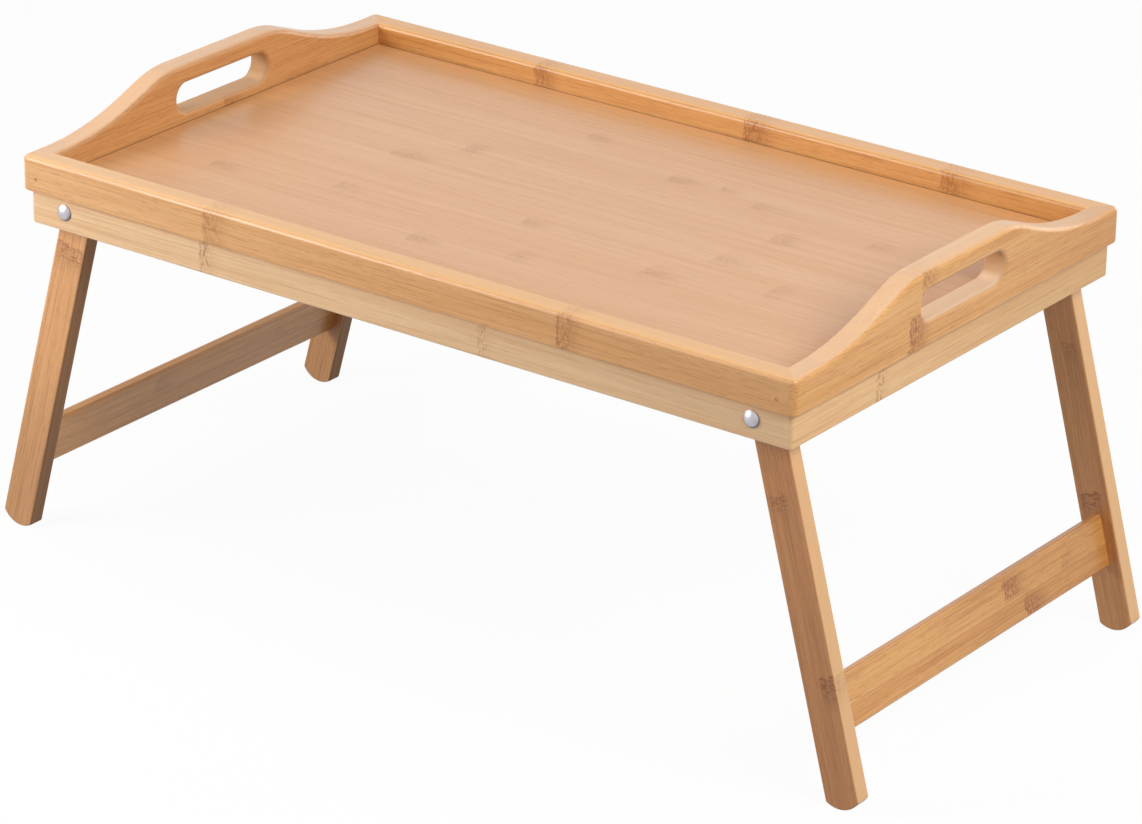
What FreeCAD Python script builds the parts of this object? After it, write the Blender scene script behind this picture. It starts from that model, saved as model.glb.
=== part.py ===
import FreeCAD, Part
import os
from math import acos, atan2, cos, degrees, hypot, radians, sin, tan

import Sketcher
from FreeCAD import Placement, Rotation, Vector

# Bed tray table, in millimetres.
# +X runs along the tray, -Y is the long side that faces the user, +Z is up.
# The origin is on the floor under the middle of the tray.

DRIVING = [
    # tray frame
    ("tray_length", 500, "over the two handle rails"),
    ("tray_width", 300, "over the front and back rails"),
    ("tray_top", 229.5, "top of the low rails above the floor"),
    ("rail_height", 20, "front and back rails"),
    ("rail_thickness", 14, "all four rails"),
    ("rail_corner", 4, "radius of the upright outer corners"),
    ("rail_rounding", 3, "radius along the top edges"),
    ("rail_easing", 1.2, "radius along the lower outer edge"),
    # handle rails
    ("handle_rise", 21, "handle top above the low rails"),
    ("crest_half", 36, "half of the straight handle top"),
    ("crest_radius", 60, "where the handle top rolls over into the slope"),
    ("handle_slope", 20.5, "steepest part of the curve, degrees"),
    ("rise_margin", 2, "inner corner of the tray to the foot of the curve"),
    ("slot_length", 76, "hand slot, end to end"),
    ("slot_height", 16, "hand slot"),
    ("slot_lift", 13.8, "underside of the rail to the bottom of the slot"),
    ("slot_rounding", 3, "radius round both mouths of the slot"),
    # tray panel, a tongue all round in a groove in the rails
    ("panel_thickness", 5, "inside the rails"),
    ("panel_lip", 2.8, "rail below the groove"),
    ("panel_gap", 0.3, "shoulder of the panel to the rails"),
    ("tongue_thickness", 3.4, "edge of the panel"),
    ("groove_depth", 6, "into the rails"),
    ("groove_play", 0.1, "above the tongue"),
    ("tongue_play", 0.5, "edge of the tongue to the end of the groove"),
    # corner brads
    ("brad_diameter", 1.8, "shank"),
    ("brad_length", 24, "end to end"),
    ("brad_sink", 0.2, "below the face of the rail"),
    ("brad_inset", 10.4, "from the end of the tray"),
    ("brad_lift", 7.7, "above the underside of the rail"),
    ("brad_play", 0.05, "round the shank"),
    # apron frame under the rails
    ("apron_height", 19, "all four boards"),
    ("apron_thickness", 10, "all four boards"),
    ("apron_inset", 3.5, "behind the outer face of the rails"),
    ("apron_corner", 2, "radius of the upright outer corners"),
    ("apron_easing", 1.2, "radius along the lower outer edge"),
    # legs
    ("leg_width", 20, "across the broad face"),
    ("leg_thickness", 10, "front to back"),
    ("leg_lean", 15, "from upright, degrees"),
    ("leg_easing", 1, "radius along the edges"),
    ("leg_top_gap", 0.8, "top of the leg to the tray panel"),
    ("foot_radius", 13.5, "round end of the foot"),
    ("foot_corner", 2, "radius where the round end meets the edges of the leg"),
    ("stop_gap", 0.1, "leg to the end apron that stops it"),
    ("running_gap", 0.1, "each broad face of the leg to its washer"),
    ("leg_side_gap", 0.6, "leg to the inner face of the rails, at least"),
    # stretchers and their dowels
    ("stretcher_width", 29, "along the leg"),
    ("stretcher_thickness", 6, "across the leg"),
    ("stretcher_setback", 7, "behind the outer edge of the leg"),
    ("stretcher_lift", 36.8, "tip of the foot to the stretcher, along the leg"),
    ("stretcher_easing", 1.5, "radius along the edges"),
    ("dowel_diameter", 3, "both dowels at each end"),
    ("dowel_length", 18, "end to end"),
    ("dowel_spacing", 14, "between the two dowels"),
    ("dowel_in_leg", 6, "length of dowel in the leg"),
    ("dowel_chamfer", 0.4, "at both ends"),
    ("dowel_play", 0.05, "round the dowel and past its ends"),
    # pivots
    ("sleeve_diameter", 6.5, "outside of the barrel nut"),
    ("sleeve_play", 0.08, "sleeve to the leg that turns on it, and to the washers"),
    ("sleeve_fit", 0.04, "sleeve to the apron"),
    ("head_diameter", 9.2, "domed head of the barrel nut"),
    ("head_height", 2.4, "crown of the dome above the apron"),
    ("head_rim", 0.5, "straight rim under the dome"),
    ("spacer_diameter", 14, "washer between apron and leg"),
    ("spacer_thickness", 1, "the same washer, at least"),
    ("washer_diameter", 12, "washer under the screw head"),
    ("washer_thickness", 1, "the same washer"),
    ("screw_diameter", 4, "shank"),
    ("screw_length", 14, "under the head"),
    ("screw_chamfer", 0.5, "point of the screw"),
    ("screw_play", 0.05, "shank to the barrel nut and to the washer"),
    ("thread_spare", 2, "thread left beyond the point of the screw"),
    ("screw_head_diameter", 8.5, "pan head"),
    ("screw_head_height", 2.8, "pan head"),
    ("screw_head_rim", 1.2, "straight rim under the pan head's dome"),
    ("recess_span", 5, "cross recess, tip to tip"),
    ("recess_width", 1.1, "one arm of the cross"),
    ("recess_depth", 1.6, "below the crown of the head"),
]

# Places that follow from the driving dimensions.
DERIVED = [
    ("rail_base", "tray_top - rail_height"),
    ("apron_base", "rail_base - apron_height"),
    ("handle_height", "rail_height + handle_rise"),
    ("rise_start", "tray_width / 2 - rail_thickness - rise_margin"),
    ("groove_top", "panel_lip + tongue_thickness + groove_play"),
    ("panel_base", "rail_base + panel_lip"),
    ("panel_half_length", "tray_length / 2 - rail_thickness - panel_gap"),
    ("panel_half_width", "tray_width / 2 - rail_thickness - panel_gap"),
    ("tongue_reach", "panel_gap + groove_depth - tongue_play"),
    ("brad_place", "tray_length / 2 - brad_inset"),
    ("brad_hole", "brad_diameter / 2 + brad_play"),
    # The leg clears the panel above it and leans on the lower inner edge of the end apron.
    ("pivot_height", "panel_base - leg_top_gap - leg_width / 2"),
    ("pivot_lift", "pivot_height - apron_base"),
    ("stop_reach", "(leg_width / 2 + stop_gap + pivot_lift * sin(leg_lean * 1deg)) / cos(leg_lean * 1deg)"),
    ("pivot_reach", "tray_length / 2 - apron_inset - apron_thickness - stop_reach"),
    ("leg_reach", "(pivot_height - foot_radius) / cos(leg_lean * 1deg)"),
    ("apron_length", "tray_length - 2 * apron_inset"),
    ("apron_width", "tray_width - 2 * apron_inset"),
    ("apron_end", "apron_length / 2"),
    # Distances from the middle of the tray out to each layer of a pivot.
    ("apron_face", "tray_width / 2 - apron_inset"),
    ("apron_back", "apron_face - apron_thickness"),
    ("rail_back", "tray_width / 2 - rail_thickness"),
    ("leg_face", "min(apron_back - spacer_thickness - running_gap; rail_back - leg_side_gap)"),
    ("spacer_reach", "apron_back - running_gap - leg_face"),
    ("leg_middle", "leg_face - leg_thickness / 2"),
    ("leg_back", "leg_face - leg_thickness"),
    ("sleeve_length", "apron_face - leg_back + running_gap"),
    ("sleeve_hole", "sleeve_diameter / 2 + sleeve_fit"),
    ("leg_bore", "sleeve_diameter / 2 + sleeve_play"),
    ("sleeve_end", "apron_face - sleeve_length"),
    ("screw_seat", "sleeve_end - washer_thickness"),
    ("screw_hole", "screw_diameter / 2 + screw_play"),
    ("thread_bottom", "sleeve_length + washer_thickness - screw_length - thread_spare"),
    # Distances down the leg from the pivot, and across it from its middle.
    ("stretcher_low", "leg_reach + foot_radius - stretcher_lift"),
    ("stretcher_high", "stretcher_low - stretcher_width"),
    ("stretcher_outer", "leg_width / 2 - stretcher_setback"),
    ("stretcher_inner", "stretcher_outer - stretcher_thickness"),
    ("dowel_across", "(stretcher_outer + stretcher_inner) / 2"),
    ("dowel_middle", "(stretcher_low + stretcher_high) / 2"),
    ("dowel_hole", "dowel_diameter / 2 + dowel_play"),
    ("dowel_leg_depth", "dowel_in_leg + dowel_play"),
    ("dowel_stretcher_depth", "dowel_length - dowel_in_leg + dowel_play"),
]

FRAME_SIDES = (("right", 1), ("left", -1))
FRAME_ENDS = (("front", -1), ("rear", 1))
DOWEL_STEPS = (("upper", -1), ("lower", 1))

doc = FreeCAD.newDocument("bed_tray_table")
sheet = doc.addObject("Spreadsheet::Sheet", "sizes")
for row, (alias, value, note) in enumerate(DRIVING, start=1):
    sheet.set(f"A{row}", alias)
    sheet.set(f"B{row}", str(value))
    sheet.set(f"C{row}", note)
    sheet.setAlias(f"B{row}", alias)
for row, (alias, formula) in enumerate(DERIVED, start=len(DRIVING) + 2):
    sheet.set(f"A{row}", alias)
    sheet.set(f"B{row}", "=" + formula)
    sheet.setAlias(f"B{row}", alias)
doc.recompute()

sub_parts = []


def size(alias):
    return float(sheet.get(alias))


def near(value, target):
    return abs(value - target) < 0.01


# ---- sketches ----

def line(x1, y1, x2, y2):
    return Part.LineSegment(Vector(x1, y1, 0), Vector(x2, y2, 0))


def circle(x, y, radius):
    return Part.Circle(Vector(x, y, 0), Vector(0, 0, 1), radius)


def arc(x, y, radius, start, end):
    """Arc about (x, y), anticlockwise from start to end in degrees."""
    return Part.ArcOfCircle(circle(x, y, radius), radians(start), radians(end))


def dome(foot, radius, rise):
    """Arc from (radius, foot) up to the axis, rise higher. A negative rise goes down."""
    sphere = (radius ** 2 + rise ** 2) / (2 * abs(rise))
    if rise > 0:
        centre = foot + rise - sphere
        return arc(0, centre, sphere, degrees(atan2(foot - centre, radius)), 90)
    centre = foot + rise + sphere
    return arc(0, centre, sphere, -90, degrees(atan2(foot - centre, radius)))


def origin_part(body, role):
    return next(item for item in body.Origin.OriginFeatures if item.Role == role)


def sketch_on(body, plane, name, offset=None):
    """Sketch on one of the body's own origin planes, moved along the plane's normal by an expression."""
    sketch = body.newObject("Sketcher::SketchObject", name)
    sketch.AttachmentSupport = [(origin_part(body, plane), "")]
    sketch.MapMode = "FlatFace"
    if offset:
        sketch.setExpression("AttachmentOffset.Base.z", offset)
    return sketch


def hold(sketch, kind, *where):
    sketch.addConstraint(Sketcher.Constraint(kind, *where))


def drive(sketch, name, expression, kind, *where):
    """Dimension a sketch: first as drawn, and then from the expression."""
    if kind == "Radius":
        drawn = sketch.Geometry[where[0]].Radius
    elif kind == "Angle":
        start, end = sketch.getPoint(where[0], 1), sketch.getPoint(where[0], 2)
        drawn = atan2(end.y - start.y, end.x - start.x)
    else:
        gap = sketch.getPoint(where[2], where[3]) - sketch.getPoint(where[0], where[1])
        drawn = gap.x if kind == "DistanceX" else gap.y
    index = sketch.addConstraint(Sketcher.Constraint(kind, *where, drawn))
    sketch.renameConstraint(index, name)
    sketch.setExpression("Constraints." + name, expression)


def meeting(sketch, first, second):
    """The ends (1 start, 2 end) at which two pieces meet."""
    ends = [(a, b) for a in (1, 2) for b in (1, 2)]
    return min(ends, key=lambda pair: sketch.getPoint(first, pair[0]).distanceToPoint(
        sketch.getPoint(second, pair[1])))


def outline(sketch, pieces, smooth=()):
    """Closed outline from pieces in order. The joint after each piece listed in smooth is tangent."""
    numbers = [sketch.addGeometry(piece) for piece in pieces]
    for step, here in enumerate(numbers):
        after = numbers[(step + 1) % len(numbers)]
        end, start = meeting(sketch, here, after)
        hold(sketch, "Tangent" if step in smooth else "Coincident", here, end, after, start)


def rectangle(sketch, left, right, low, high):
    """Rectangle whose four sides are expressions, measured from the sketch's origin."""
    outline(sketch, [line(0, 0, 1, 0), line(1, 0, 1, 1), line(1, 1, 0, 1), line(0, 1, 0, 0)])
    for number, kind in enumerate(("Horizontal", "Vertical", "Horizontal", "Vertical")):
        hold(sketch, kind, number)
    drive(sketch, "left", left, "DistanceX", -1, 1, 0, 1)
    drive(sketch, "right", right, "DistanceX", -1, 1, 2, 1)
    drive(sketch, "low", low, "DistanceY", -1, 1, 0, 1)
    drive(sketch, "high", high, "DistanceY", -1, 1, 2, 1)


def ring(sketch, name, radius, x="0", y="0"):
    """Circle whose centre and radius are expressions."""
    index = sketch.addGeometry(circle(0, 0, 1))
    drive(sketch, name + "Across", x, "DistanceX", -1, 1, index, 3)
    drive(sketch, name + "Up", y, "DistanceY", -1, 1, index, 3)
    drive(sketch, name + "Radius", radius, "Radius", index)


# ---- bodies and features ----

def new_body(label, x="0", y="0", z="0", axis=(0, 0, 1), angle="0 deg"):
    """Body placed by expressions and turned about an axis through its own origin."""
    body = doc.addObject("PartDesign::Body", label)
    body.Placement = Placement(Vector(), Rotation(Vector(*axis), 1))
    for name, expression in (("Base.x", x), ("Base.y", y), ("Base.z", z), ("Rotation.Angle", angle)):
        body.setExpression("Placement." + name, expression)
    sub_parts.append(body)
    return body


def pad(body, sketch, name, length, middle=False):
    feature = body.newObject("PartDesign::Pad", name)
    feature.Profile = sketch
    feature.SideType = "Symmetric" if middle else "One side"
    feature.setExpression("Length", length)
    doc.recompute()


def revolve(body, sketch, name):
    """Turn a half section about the sketch's upright axis."""
    feature = body.newObject("PartDesign::Revolution", name)
    feature.Profile = sketch
    feature.ReferenceAxis = (sketch, ["V_Axis"])
    feature.Angle = 360
    doc.recompute()


def check_cut(body, feature, before):
    doc.recompute()
    if not body.Shape.Volume < before - 0.01:
        raise RuntimeError(f"{body.Label}: {feature.Label} removed nothing")


def pocket(body, sketch, name, depth=None, reverse=False):
    """Cut right through both ways, or to a depth given by an expression."""
    before = body.Shape.Volume
    feature = body.newObject("PartDesign::Pocket", name)
    feature.Profile = sketch
    if depth:
        feature.Reversed = reverse
        feature.setExpression("Length", depth)
    else:
        feature.SideType = "Symmetric"
        feature.Type = "ThroughAll"
    check_cut(body, feature, before)
    return feature


def mirror(body, cut, plane, name):
    """Repeat a cut on the other side of one of the body's origin planes."""
    before = body.Shape.Volume
    feature = body.newObject("PartDesign::Mirrored", name)
    feature.Originals = [cut]
    feature.MirrorPlane = (origin_part(body, plane), [""])
    body.Tip = feature
    check_cut(body, feature, before)


def ease(body, name, amount, test, kind="Fillet"):
    """Round or chamfer every edge that passes the test all along, in the body's own frame."""
    base, before = body.Tip, body.Shape.Volume
    edges = []
    for number, edge in enumerate(base.Shape.Edges, start=1):
        first, last = edge.ParameterRange
        if all(test(edge.valueAt(first + (last - first) * step / 6)) for step in range(7)):
            edges.append(f"Edge{number}")
    feature = body.newObject("PartDesign::" + kind, name)
    feature.Base = (base, edges)
    feature.setExpression("Radius" if kind == "Fillet" else "Size", amount)
    check_cut(body, feature, before)


# ---- tray and apron frames ----

def mitred_board(body, run, thickness, corner, easing, height):
    """Board with its outer face on y = 0 and its length along x, mitred at both ends.

    The upright outer corners are rounded, half of each on this board and half on its neighbour.
    The arguments are names of sizes.
    """
    half, deep, radius = size(run) / 2, size(thickness), size(corner)
    slant = radius * cos(radians(45))
    sketch = sketch_on(body, "XY_Plane", "plan")
    outline(sketch, [
        line(-half + radius, 0, half - radius, 0),
        arc(half - radius, radius, radius, -90, -45),
        line(half - radius + slant, radius - slant, half - deep, deep),
        line(half - deep, deep, -half + deep, deep),
        line(-half + deep, deep, -half + radius - slant, radius - slant),
        arc(-half + radius, radius, radius, 225, 270),
    ], smooth=(0, 5))
    hold(sketch, "PointOnObject", 0, 1, -1)
    hold(sketch, "Horizontal", 3)
    hold(sketch, "Equal", 1, 5)
    hold(sketch, "Symmetric", 0, 1, 0, 2, -2)
    hold(sketch, "PointOnObject", 1, 3, 2)
    hold(sketch, "PointOnObject", 5, 3, 4)
    drive(sketch, "rightMitre", "135 deg", "Angle", 2)
    drive(sketch, "leftMitre", "-135 deg", "Angle", 4)
    drive(sketch, "halfRun", f"sizes.{run} / 2 - sizes.{corner}", "DistanceX", -1, 1, 0, 2)
    drive(sketch, "thickness", f"sizes.{thickness}", "DistanceY", 0, 2, 3, 1)
    drive(sketch, "corner", f"sizes.{corner}", "Radius", 1)
    pad(body, sketch, "board", f"sizes.{height}")
    ease(body, "lowerEdge", f"sizes.{easing}", lambda p: near(p.z, 0) and outer_edge(p, corner))


def outer_edge(point, corner):
    """On the outer face of a mitred board, or on its half of a rounded corner."""
    return point.y < size(corner) * (1 - cos(radians(45))) + 0.01


def panel_groove(body):
    """Groove for the panel's tongue, along the whole inner face of a rail."""
    sketch = sketch_on(body, "YZ_Plane", "grooveSection")
    rectangle(sketch, "sizes.rail_thickness - sizes.groove_depth", "sizes.rail_thickness",
              "sizes.panel_lip", "sizes.groove_top")
    pocket(body, sketch, "groove")


def low_rail(label, side):
    """Front (side -1) or back (side 1) rail."""
    body = new_body(label, y=f"{side} * sizes.tray_width / 2", z="sizes.rail_base",
                    angle=f"{90 + side * 90} deg")
    mitred_board(body, "tray_length", "rail_thickness", "rail_corner", "rail_easing", "rail_height")
    top, back = size("rail_height"), size("rail_thickness")
    ease(body, "topEdges", "sizes.rail_rounding",
         lambda p: near(p.z, top) and (near(p.y, back) or outer_edge(p, "rail_corner")))
    panel_groove(body)
    sketch = sketch_on(body, "XZ_Plane", "bradPlace")
    ring(sketch, "brad", "sizes.brad_hole", "sizes.brad_place", "sizes.brad_lift")
    mirror(body, pocket(body, sketch, "bradHole"), "YZ_Plane", "otherBradHole")


def cut_shoulders(body):
    """Cut the rail down to its low ends: a hollow curve, a straight slope and a curve over into the top."""
    half, spare = size("tray_width") / 2, size("rail_thickness")
    low, high = size("rail_height"), size("handle_height")
    crest, over = size("crest_half"), size("crest_radius")
    start, slope = size("rise_start"), size("handle_slope")
    steep = radians(slope)
    # The hollow curve takes what the slope and the upper curve leave of the rise.
    hollow = ((start - crest) * tan(steep) - (high - low)) / (1 / cos(steep) - 1) - over
    foot = (start - hollow * sin(steep), low + hollow * (1 - cos(steep)))
    head = (crest + over * sin(steep), high - over * (1 - cos(steep)))
    sketch = sketch_on(body, "XZ_Plane", "shoulder")
    outline(sketch, [
        line(half + spare, low, start, low),
        arc(start, low + hollow, hollow, 270 - slope, 270),
        line(*foot, *head),
        arc(crest, high - over, over, 90 - slope, 90),
        line(crest, high, crest, high + spare),
        line(crest, high + spare, half + spare, high + spare),
        line(half + spare, high + spare, half + spare, low),
    ], smooth=(0, 1, 2))
    for number, kind in ((0, "Horizontal"), (4, "Vertical"), (5, "Horizontal"), (6, "Vertical")):
        hold(sketch, kind, number)
    hold(sketch, "PointOnObject", 3, 3, 4)
    drive(sketch, "low", "sizes.rail_height", "DistanceY", -1, 1, 0, 2)
    drive(sketch, "high", "sizes.handle_height", "DistanceY", -1, 1, 4, 1)
    drive(sketch, "riseStart", "sizes.rise_start", "DistanceX", -1, 1, 0, 2)
    drive(sketch, "crestEnd", "sizes.crest_half", "DistanceX", -1, 1, 4, 1)
    drive(sketch, "over", "sizes.crest_radius", "Radius", 3)
    drive(sketch, "slope", "180 deg - sizes.handle_slope * 1 deg", "Angle", 2)
    drive(sketch, "pastEnd", "sizes.tray_width / 2 + sizes.rail_thickness", "DistanceX", -1, 1, 6, 1)
    drive(sketch, "pastTop", "sizes.handle_height + sizes.rail_thickness", "DistanceY", -1, 1, 6, 1)
    mirror(body, pocket(body, sketch, "shoulderCut"), "YZ_Plane", "otherShoulderCut")


def hand_slot(body):
    """Slot with round ends, both of its mouths rounded over."""
    radius, bottom, back = size("slot_height") / 2, size("slot_lift"), size("rail_thickness")
    reach, top = size("slot_length") / 2, bottom + 2 * radius
    sketch = sketch_on(body, "XZ_Plane", "slotOutline")
    outline(sketch, [
        line(radius - reach, bottom, reach - radius, bottom),
        arc(reach - radius, bottom + radius, radius, -90, 90),
        line(reach - radius, top, radius - reach, top),
        arc(radius - reach, bottom + radius, radius, 90, 270),
    ], smooth=(0, 1, 2, 3))
    hold(sketch, "Horizontal", 2)
    hold(sketch, "Symmetric", 0, 1, 0, 2, -2)
    drive(sketch, "bottom", "sizes.slot_lift", "DistanceY", -1, 1, 0, 2)
    drive(sketch, "reach", "(sizes.slot_length - sizes.slot_height) / 2", "DistanceX", -1, 1, 0, 2)
    drive(sketch, "radius", "sizes.slot_height / 2", "Radius", 1)
    pocket(body, sketch, "handSlot")
    ease(body, "slotMouths", "sizes.slot_rounding", lambda p: (
        (near(p.y, 0) or near(p.y, back)) and abs(p.x) < reach + 0.01 and bottom - 0.01 < p.z < top + 0.01))


def handle_rail(label, side):
    """Left (side -1) or right (side 1) end rail with its raised handle."""
    body = new_body(label, x=f"{side} * sizes.tray_length / 2", z="sizes.rail_base", angle=f"{side * 90} deg")
    mitred_board(body, "tray_width", "rail_thickness", "rail_corner", "rail_easing", "handle_height")
    cut_shoulders(body)
    low, back = size("rail_height"), size("rail_thickness")
    ease(body, "topEdges", "sizes.rail_rounding",
         lambda p: p.z > low - 0.01 and (near(p.y, back) or outer_edge(p, "rail_corner")))
    hand_slot(body)
    panel_groove(body)
    sketch = sketch_on(body, "YZ_Plane", "bradPlace", "sizes.tray_width / 2")
    ring(sketch, "brad", "sizes.brad_hole", "sizes.brad_inset", "sizes.brad_lift")
    depth = "sizes.brad_sink + sizes.brad_length + sizes.brad_play"
    mirror(body, pocket(body, sketch, "bradHole", depth), "YZ_Plane", "otherBradHole")


def tray_panel():
    """Sheet with a tongue all round, flush with its underside."""
    body = new_body("tray_panel", z="sizes.panel_base")
    for name, reach, height in (("tongue", "sizes.tongue_reach", "sizes.tongue_thickness"),
                                ("field", "0", "sizes.panel_thickness")):
        half_length, half_width = f"(sizes.panel_half_length + {reach})", f"(sizes.panel_half_width + {reach})"
        sketch = sketch_on(body, "XY_Plane", name + "Outline")
        rectangle(sketch, "-" + half_length, half_length, "-" + half_width, half_width)
        pad(body, sketch, name, height)


def corner_brads():
    """Four headless nails, through the front and back rails into the end rails."""
    brads = []
    for side_x in (-1, 1):
        for side_y in (-1, 1):
            brad = doc.addObject("Part::Cylinder", "brad")
            brad.Placement = Placement(Vector(), Rotation(Vector(1, 0, 0), 90 * side_y))
            brad.setExpression("Radius", "sizes.brad_diameter / 2")
            brad.setExpression("Height", "sizes.brad_length")
            brad.setExpression("Placement.Base.x", f"{side_x} * sizes.brad_place")
            brad.setExpression("Placement.Base.y", f"{side_y} * (sizes.tray_width / 2 - sizes.brad_sink)")
            brad.setExpression("Placement.Base.z", "sizes.rail_base + sizes.brad_lift")
            brads.append(brad)
    group = doc.addObject("Part::Compound", "corner_brads")
    group.Links = brads
    sub_parts.append(group)


def apron(label, run, x="0", y="0", turn=0, bored=False):
    """Board of the lower frame. The front and back ones are bored for the sleeves of the pivots."""
    body = new_body(label, x=x, y=y, z="sizes.apron_base", angle=f"{turn} deg")
    mitred_board(body, run, "apron_thickness", "apron_corner", "apron_easing", "apron_height")
    if bored:
        sketch = sketch_on(body, "XZ_Plane", "pivotPlace")
        ring(sketch, "sleeve", "sizes.sleeve_hole", "sizes.pivot_reach", "sizes.pivot_lift")
        mirror(body, pocket(body, sketch, "sleeveHole"), "YZ_Plane", "otherSleeveHole")


# ---- leg frames ----

def frame_body(label, side, y="0"):
    """Body in the leaning frame of the right (side 1) or left (side -1) legs.

    Its origin is on the pivot line, -z runs down the leg and x across it.
    """
    return new_body(label, x=f"{side} * sizes.pivot_reach", y=y, z="sizes.pivot_height",
                    axis=(0, 1, 0), angle=f"{-side} * sizes.leg_lean * 1 deg")


def dowel_places(body, side, offset):
    """The two dowel holes of one joint, on the broad face of a leg or on the end of a stretcher."""
    sketch = sketch_on(body, "XZ_Plane", "dowelPlaces", offset)
    for name, step in DOWEL_STEPS:
        ring(sketch, name, "sizes.dowel_hole", f"{side} * sizes.dowel_across",
             f"-(sizes.dowel_middle + {step} * sizes.dowel_spacing / 2)")
    return sketch


def leg(label, side, end):
    """Flat leg, round about its pivot at the top and with a shallower round at the foot."""
    body = frame_body(label, side, f"{end} * sizes.leg_middle")
    half, reach, foot = size("leg_width") / 2, size("leg_reach"), size("foot_radius")
    face, bore = size("leg_thickness") / 2, size("leg_bore")
    opening = acos(half / foot)
    corner = -reach - foot * sin(opening)
    sketch = sketch_on(body, "XZ_Plane", "legOutline")
    outline(sketch, [
        arc(0, 0, half, 0, 180),
        line(-half, 0, -half, corner),
        arc(0, -reach, foot, 180 + degrees(opening), 360 - degrees(opening)),
        line(half, corner, half, 0),
    ], smooth=(0, 3))
    hold(sketch, "Coincident", 0, 3, -1, 1)
    hold(sketch, "PointOnObject", 2, 3, -2)
    hold(sketch, "Vertical", 1)
    hold(sketch, "Vertical", 3)
    drive(sketch, "halfWidth", "sizes.leg_width / 2", "Radius", 0)
    drive(sketch, "foot", "sizes.foot_radius", "Radius", 2)
    drive(sketch, "reach", "sizes.leg_reach", "DistanceY", 2, 3, -1, 1)
    ring(sketch, "bore", "sizes.leg_bore")
    pad(body, sketch, "blank", "sizes.leg_thickness", middle=True)
    ease(body, "footCorners", "sizes.foot_corner", lambda p: near(abs(p.x), half) and near(p.z, corner))
    ease(body, "edges", "sizes.leg_easing",
         lambda p: near(abs(p.y), face) and not near(hypot(p.x, p.z), bore))
    sketch = dowel_places(body, side, f"{end} * sizes.leg_thickness / 2")
    pocket(body, sketch, "dowelHoles", "sizes.dowel_leg_depth", reverse=end < 0)


def stretcher(label, side):
    """Flat board between the two legs of a frame, bored for two dowels at each end."""
    body = frame_body(label, side)
    sketch = sketch_on(body, "XZ_Plane", "section")
    rectangle(sketch, f"{side} * sizes.stretcher_inner", f"{side} * sizes.stretcher_outer",
              "-sizes.stretcher_low", "-sizes.stretcher_high")
    pad(body, sketch, "board", "2 * sizes.leg_back", middle=True)
    across = (side * size("stretcher_inner"), side * size("stretcher_outer"))
    down = (-size("stretcher_low"), -size("stretcher_high"))
    ease(body, "longEdges", "sizes.stretcher_easing",
         lambda p: any(near(p.x, x) for x in across) and any(near(p.z, z) for z in down))
    sketch = dowel_places(body, side, "sizes.leg_back")
    cut = pocket(body, sketch, "dowelHoles", "sizes.dowel_stretcher_depth")
    mirror(body, cut, "XZ_Plane", "otherDowelHoles")


def dowel(label, side, end, step):
    """Chamfered dowel across the joint between a leg and its stretcher."""
    body = frame_body(label, side, f"{end} * (sizes.leg_back + sizes.dowel_in_leg - sizes.dowel_length / 2)")
    sketch = sketch_on(body, "XZ_Plane", "section")
    ring(sketch, "shank", "sizes.dowel_diameter / 2", f"{side} * sizes.dowel_across",
         f"-(sizes.dowel_middle + {step} * sizes.dowel_spacing / 2)")
    pad(body, sketch, "shank", "sizes.dowel_length", middle=True)
    half = size("dowel_length") / 2
    ease(body, "ends", "sizes.dowel_chamfer", lambda p: near(abs(p.y), half), kind="Chamfer")


# ---- pivots ----

def pivot_body(label, side, end, place):
    """Body on a pivot line: its own +z points in towards the middle of the tray, from a named place."""
    return new_body(label, x=f"{side} * sizes.pivot_reach", y=f"{end} * sizes.{place}",
                    z="sizes.pivot_height", axis=(1, 0, 0), angle=f"{end * 90} deg")


def barrel_nut(label, side, end):
    """Domed head outside the apron, and a sleeve through the apron, the spacer and the leg."""
    body = pivot_body(label, side, end, "apron_face")
    head, crown, rim = size("head_diameter") / 2, size("head_height"), size("head_rim")
    sleeve, length = size("sleeve_diameter") / 2, size("sleeve_length")
    thread, bottom = size("screw_hole"), size("thread_bottom")
    sketch = sketch_on(body, "XZ_Plane", "halfSection")
    outline(sketch, [
        dome(-rim, head, rim - crown),
        line(head, -rim, head, 0),
        line(head, 0, sleeve, 0),
        line(sleeve, 0, sleeve, length),
        line(sleeve, length, thread, length),
        line(thread, length, thread, bottom),
        line(thread, bottom, 0, bottom),
        line(0, bottom, 0, -crown),
    ])
    for number in range(1, 8):
        hold(sketch, "Vertical" if number % 2 else "Horizontal", number)
    hold(sketch, "PointOnObject", 0, 3, -2)
    hold(sketch, "PointOnObject", 7, 1, -2)
    hold(sketch, "PointOnObject", 2, 1, -1)
    drive(sketch, "crown", "-sizes.head_height", "DistanceY", -1, 1, 7, 2)
    drive(sketch, "rim", "sizes.head_rim", "DistanceY", 1, 1, 1, 2)
    drive(sketch, "head", "sizes.head_diameter / 2", "DistanceX", -1, 1, 1, 1)
    drive(sketch, "sleeve", "sizes.sleeve_diameter / 2", "DistanceX", -1, 1, 3, 1)
    drive(sketch, "length", "sizes.sleeve_length", "DistanceY", -1, 1, 4, 1)
    drive(sketch, "thread", "sizes.screw_hole", "DistanceX", -1, 1, 5, 1)
    drive(sketch, "bottom", "sizes.thread_bottom", "DistanceY", -1, 1, 6, 1)
    revolve(body, sketch, "nut")


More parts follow.
